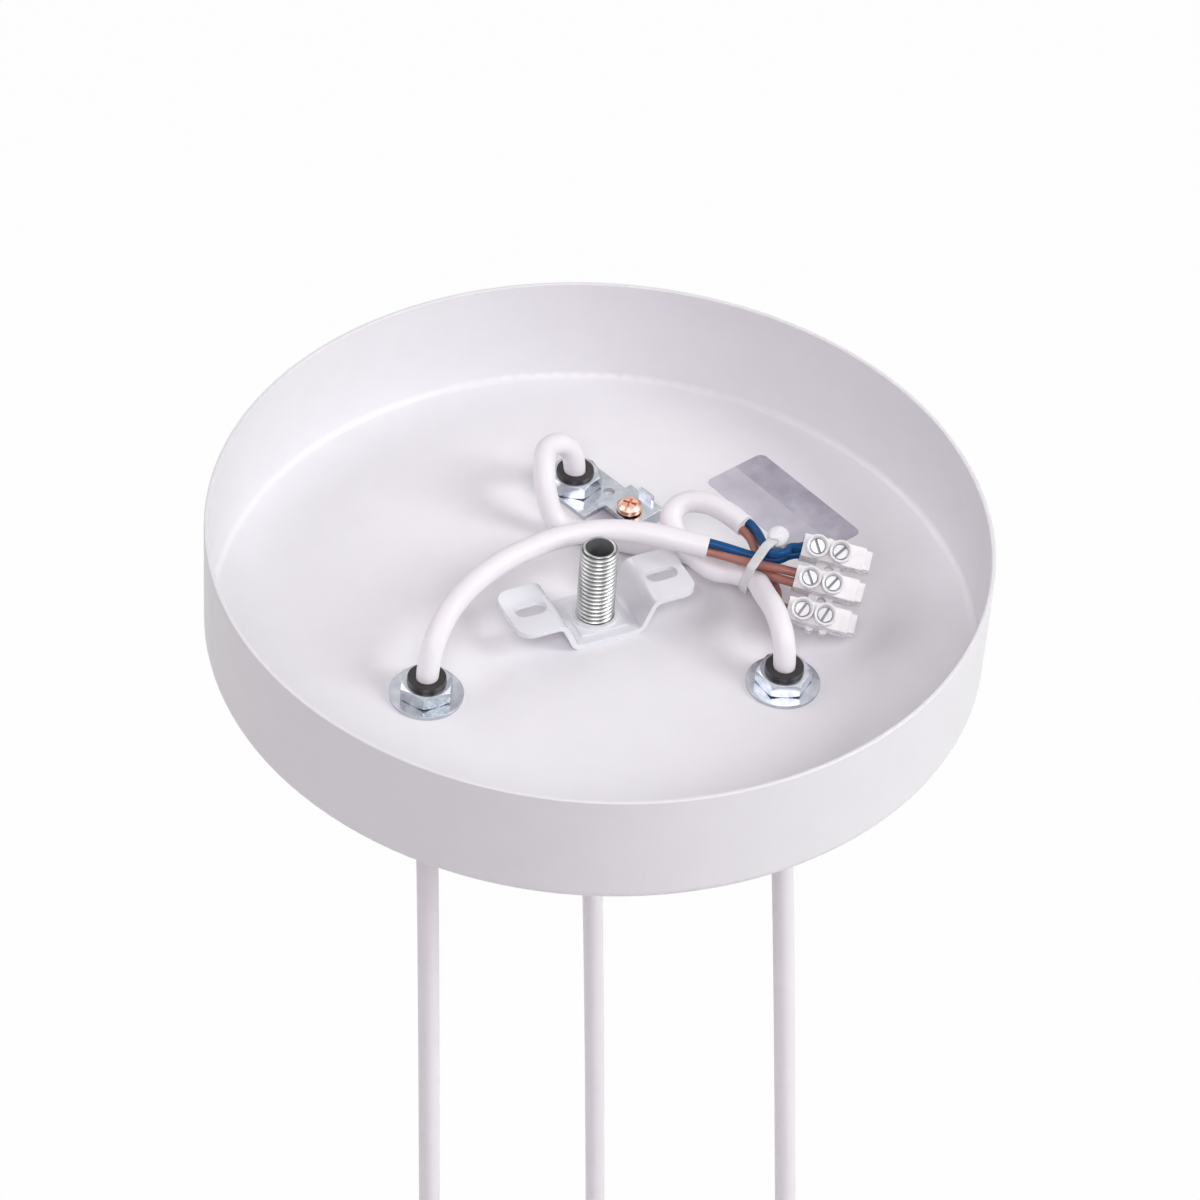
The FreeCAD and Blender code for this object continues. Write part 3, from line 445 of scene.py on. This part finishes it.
def threaded_tube(name, crest, root, bore, pitch, low, high, node):
    """A hollow tube with a rolled outside thread, its ends chamfered."""
    flank = root + FLANK_FOOT * (crest - root)
    shoulder = crest - CREST_ROUND
    profile = [root, root, flank, shoulder, crest, shoulder, flank, root]
    per_turn = len(profile)
    rows = per_turn * (int((high - low) / pitch) + 3)
    lip = root - TUBE_CHAMFER
    verts = []
    for row in range(rows):
        for step in range(TUBE_SIDES):
            height = low + pitch * (row / per_turn + step / TUBE_SIDES - 1.0)
            height = min(max(height, low), high)
            limit = lip + min(height - low, high - height)
            verts.append(on_tube(min(profile[row % per_turn], limit), height, step))
    faces = []
    for row in range(rows - 1 - per_turn):
        for step in range(TUBE_SIDES):
            here = row * TUBE_SIDES + step
            last = step + 1 == TUBE_SIDES
            onward = (row + per_turn) * TUBE_SIDES if last else here + 1
            faces.append((here, onward, onward + TUBE_SIDES, here + TUBE_SIDES))
    rings = [
        (lip, low), (bore + TUBE_CHAMFER, low), (bore, low + TUBE_CHAMFER),
        (bore, high - TUBE_CHAMFER), (bore + TUBE_CHAMFER, high), (lip, high),
    ]
    first = len(verts)
    for radius, height in rings:
        verts.extend(on_tube(radius, height, step) for step in range(TUBE_SIDES))
    for ring in range(len(rings) - 1):
        for step in range(TUBE_SIDES):
            onward = (step + 1) % TUBE_SIDES
            a = first + ring * TUBE_SIDES
            b = a + TUBE_SIDES
            faces.append((a + onward, a + step, b + step, b + onward))
    item = mesh_piece(name, verts, faces, node, "zinc")
    item.data.materials[0] = FINISHES["tube_thread"]
    item.data.materials.append(FINISHES["bore_painted_shade"])
    item.data.materials.append(FINISHES["zinc"])
    for polygon in item.data.polygons:
        if math.hypot(polygon.center.x, polygon.center.y) < (bore + BORE_ZONE) * MM:
            polygon.material_index = 1
        elif not (low + END_ZONE) * MM < polygon.center.z < (high - END_ZONE) * MM:
            polygon.material_index = 2


threaded_tube("rolled_thread_tube", crest=4.92, root=4.32, bore=3.5, pitch=1.3,
              low=-17.5, high=15.0, node="threaded_tube")

TIE_PLACE = Vector((38.77, -10.23, -0.44))
TIE_THROUGH = Vector((0.438, -0.8863, -0.1501))
TIE_ACROSS = Vector((0.8966, 0.4187, 0.1439))
TIE_UP = Vector((-0.0647, -0.1976, 0.9781))
# The cores and leads that the strap goes round: place across, place up and radius.
TIE_ROUNDS = [
    (1.02, -0.28, 3.15), (7.09, -4.79, 1.5), (8.97, 1.28, 1.6), (8.6, 7.9, 0.7),
    (5.45, 7.67, 1.45), (2.12, 4.96, 1.3), (0.7, 4.9, 1.0),
]
TIE_GAP = 0.1
STRAP_WIDE = 2.5
STRAP_THICK = 0.9
STRAP_CORNER = 0.3
STRAP_STEPS = 120
CORNER_STEPS = 4
HEAD_PLACE = Vector((47.2, -8.0, 9.9))
HEAD_AXIS = Vector((-0.346, -0.657, 0.669))
HEAD_RADIUS = 2.85
HEAD_TALL = 2.6
HEAD_FOOT_EDGE = 0.5
HEAD_TOP_EDGE = 0.8
HEAD_EDGE_STEPS = 5
HEAD_SIDES = 64


def rounded_box(wide, tall, corner):
    """The outline of a rounded rectangle, its lower edge at nought."""
    points = []
    for x, y, first in ((1, 1, 0.0), (-1, 1, 0.25), (-1, 0, 0.5), (1, 0, 0.75)):
        for step in range(CORNER_STEPS + 1):
            angle = math.tau * (first + 0.25 * step / CORNER_STEPS)
            points.append((x * (wide / 2 - corner) + corner * math.cos(angle),
                           (tall - corner if y else corner) + corner * math.sin(angle)))
    return points


def strap():
    """Corners and faces of the strap, drawn tight round the rounds."""
    verts, faces = [], []
    section = rounded_box(STRAP_WIDE, STRAP_THICK, STRAP_CORNER)
    ring = len(section)
    for step in range(STRAP_STEPS):
        angle = math.tau * step / STRAP_STEPS
        out = (math.cos(angle), math.sin(angle))
        x, y, radius = max(TIE_ROUNDS, key=lambda r: r[0] * out[0] + r[1] * out[1] + r[2])
        for sideways, proud in section:
            reach = radius + TIE_GAP + proud
            place = (TIE_PLACE + TIE_ACROSS * (x + reach * out[0])
                     + TIE_UP * (y + reach * out[1]) + TIE_THROUGH * sideways)
            verts.append(place * MM)
    for step in range(STRAP_STEPS):
        a, b = step * ring, (step + 1) % STRAP_STEPS * ring
        for k in range(ring):
            m = (k + 1) % ring
            faces.append((a + k, a + m, b + m, b + k))
    return verts, faces


def tie_head(first):
    """Corners and faces of the round head, its corners numbered from first.

    The last two faces are its flat ends."""
    side = HEAD_AXIS.cross(Vector((0.0, 0.0, 1.0))).normalized()
    front = HEAD_AXIS.cross(side)
    profile = []
    for edge, middle, start in ((HEAD_FOOT_EDGE, HEAD_FOOT_EDGE, 0.75),
                                (HEAD_TOP_EDGE, HEAD_TALL - HEAD_TOP_EDGE, 0.0)):
        for step in range(HEAD_EDGE_STEPS + 1):
            angle = math.tau * (start + 0.25 * step / HEAD_EDGE_STEPS)
            profile.append((HEAD_RADIUS - edge + edge * math.cos(angle),
                            middle + edge * math.sin(angle)))
    verts, faces = [], []
    for radius, height in profile:
        for step in range(HEAD_SIDES):
            angle = math.tau * step / HEAD_SIDES
            place = (HEAD_PLACE + HEAD_AXIS * (height - HEAD_TALL / 2)
                     + (side * math.cos(angle) + front * math.sin(angle)) * radius)
            verts.append(place * MM)
    for row in range(len(profile) - 1):
        a = first + row * HEAD_SIDES
        for step in range(HEAD_SIDES):
            onward = (step + 1) % HEAD_SIDES
            faces.append((a + step, a + HEAD_SIDES + step,
                          a + HEAD_SIDES + onward, a + onward))
    top = first + (len(profile) - 1) * HEAD_SIDES
    faces.append(tuple(first + step for step in range(HEAD_SIDES)))
    faces.append(tuple(top + step for step in reversed(range(HEAD_SIDES))))
    return verts, faces


def cable_tie(name, node):
    """A strap drawn round the cores, with a round head on its end."""
    verts, faces = strap()
    head_verts, head_faces = tie_head(len(verts))
    item = mesh_piece(name, verts + head_verts, faces + head_faces, node, "tie_moulding")
    for cap in item.data.polygons[-2:]:
        cap.use_smooth = False


cable_tie("drawn_tie", "cable_tie")

# The studio, in metres.
WHITE = (1.0, 1.0, 1.0)
WORLD_COLOUR = (1.0, 0.87, 0.96)
WORLD_LIGHT = 0.18
FLOOR_HALF = 4.0
FLOOR_LEVEL = -0.42
FLOOR_GLOW = 0.97
FLOOR_ALBEDO = 0.9
FLOOR_ROUGHNESS = 0.9
LAMP_SIZE = 0.9


def seen_ray(tree):
    """One for rays that show the background, nought for those that light the part."""
    rays = tree.nodes.new("ShaderNodeLightPath")
    total = rays.outputs["Is Camera Ray"]
    for name in ("Is Glossy Ray", "Is Transmission Ray"):
        joined = tree.nodes.new("ShaderNodeMath")
        joined.operation = "MAXIMUM"
        tree.links.new(total, joined.inputs[0])
        tree.links.new(rays.outputs[name], joined.inputs[1])
        total = joined.outputs["Value"]
    return total


def make_world():
    """A dim tinted sky that lights the part and looks plain white itself."""
    world = bpy.data.worlds.new("studio")
    bpy.context.scene.world = world
    world.use_nodes = True
    tree = world.node_tree
    light = tree.nodes["Background"]
    light.inputs["Color"].default_value = (*WORLD_COLOUR, 1.0)
    light.inputs["Strength"].default_value = WORLD_LIGHT
    seen = tree.nodes.new("ShaderNodeBackground")
    seen.inputs["Color"].default_value = (*WHITE, 1.0)
    seen.inputs["Strength"].default_value = 1.0
    mix = tree.nodes.new("ShaderNodeMixShader")
    tree.links.new(seen_ray(tree), mix.inputs["Fac"])
    tree.links.new(light.outputs["Background"], mix.inputs[1])
    tree.links.new(seen.outputs["Background"], mix.inputs[2])
    tree.links.new(mix.outputs["Shader"], tree.nodes["World Output"].inputs["Surface"])


def make_floor():
    """A wide pale floor below the hanging cables."""
    half, level = FLOOR_HALF, FLOOR_LEVEL
    corners = [(-half, -half, level), (half, -half, level), (half, half, level),
               (-half, half, level)]
    data = bpy.data.meshes.new("studio_floor")
    data.from_pydata(corners, [], [(0, 1, 2, 3)])
    material = bpy.data.materials.new("studio_floor")
    material.use_nodes = True
    tree = material.node_tree
    shader = tree.nodes["Principled BSDF"]
    shader.inputs["Base Color"].default_value = (FLOOR_ALBEDO, FLOOR_ALBEDO, FLOOR_ALBEDO, 1.0)
    shader.inputs["Roughness"].default_value = FLOOR_ROUGHNESS
    glow = tree.nodes.new("ShaderNodeEmission")
    glow.inputs["Strength"].default_value = 1.0
    mix = tree.nodes.new("ShaderNodeMixShader")
    share = tree.nodes.new("ShaderNodeMath")
    share.operation = "MULTIPLY"
    share.inputs[1].default_value = FLOOR_GLOW
    tree.links.new(seen_ray(tree), share.inputs[0])
    tree.links.new(share.outputs["Value"], mix.inputs["Fac"])
    tree.links.new(shader.outputs["BSDF"], mix.inputs[1])
    tree.links.new(glow.outputs["Emission"], mix.inputs[2])
    tree.links.new(mix.outputs["Shader"], tree.nodes["Material Output"].inputs["Surface"])
    data.materials.append(material)
    item = bpy.data.objects.new("studio_floor", data)
    bpy.context.scene.collection.objects.link(item)


def lamp(name, place, power, colour):
    """A broad round studio lamp that faces the part."""
    data = bpy.data.lights.new(name, "AREA")
    data.shape = "DISK"
    data.size = LAMP_SIZE
    data.energy = power
    data.color = colour
    item = bpy.data.objects.new(name, data)
    item.location = place
    item.rotation_euler = (-Vector(place)).to_track_quat("-Z", "Y").to_euler()
    bpy.context.scene.collection.objects.link(item)


make_world()
make_floor()
# Place, power in watts and colour of each lamp.
LAMPS = {
    "key": ((1.076, -0.962, 1.1), 17.5, (0.96, 1.0, 0.98)),
    "front": ((-0.606, -1.151, 1.3), 12.5, (1.0, 0.96, 0.985)),
    "left_back": ((-0.424, 1.127, 1.3), 3.8, WHITE),
    "left": ((-1.151, 0.606, 1.1), 4.5, WHITE),
    "right_back": ((1.258, 0.242, 1.2), 1.4, WHITE),
    "right_low": ((1.276, -1.011, 0.4), 1.8, WHITE),
}
for name, (place, power, colour) in LAMPS.items():
    lamp(name, place, power, colour)

bpy.context.scene.view_settings.view_transform = "Standard"
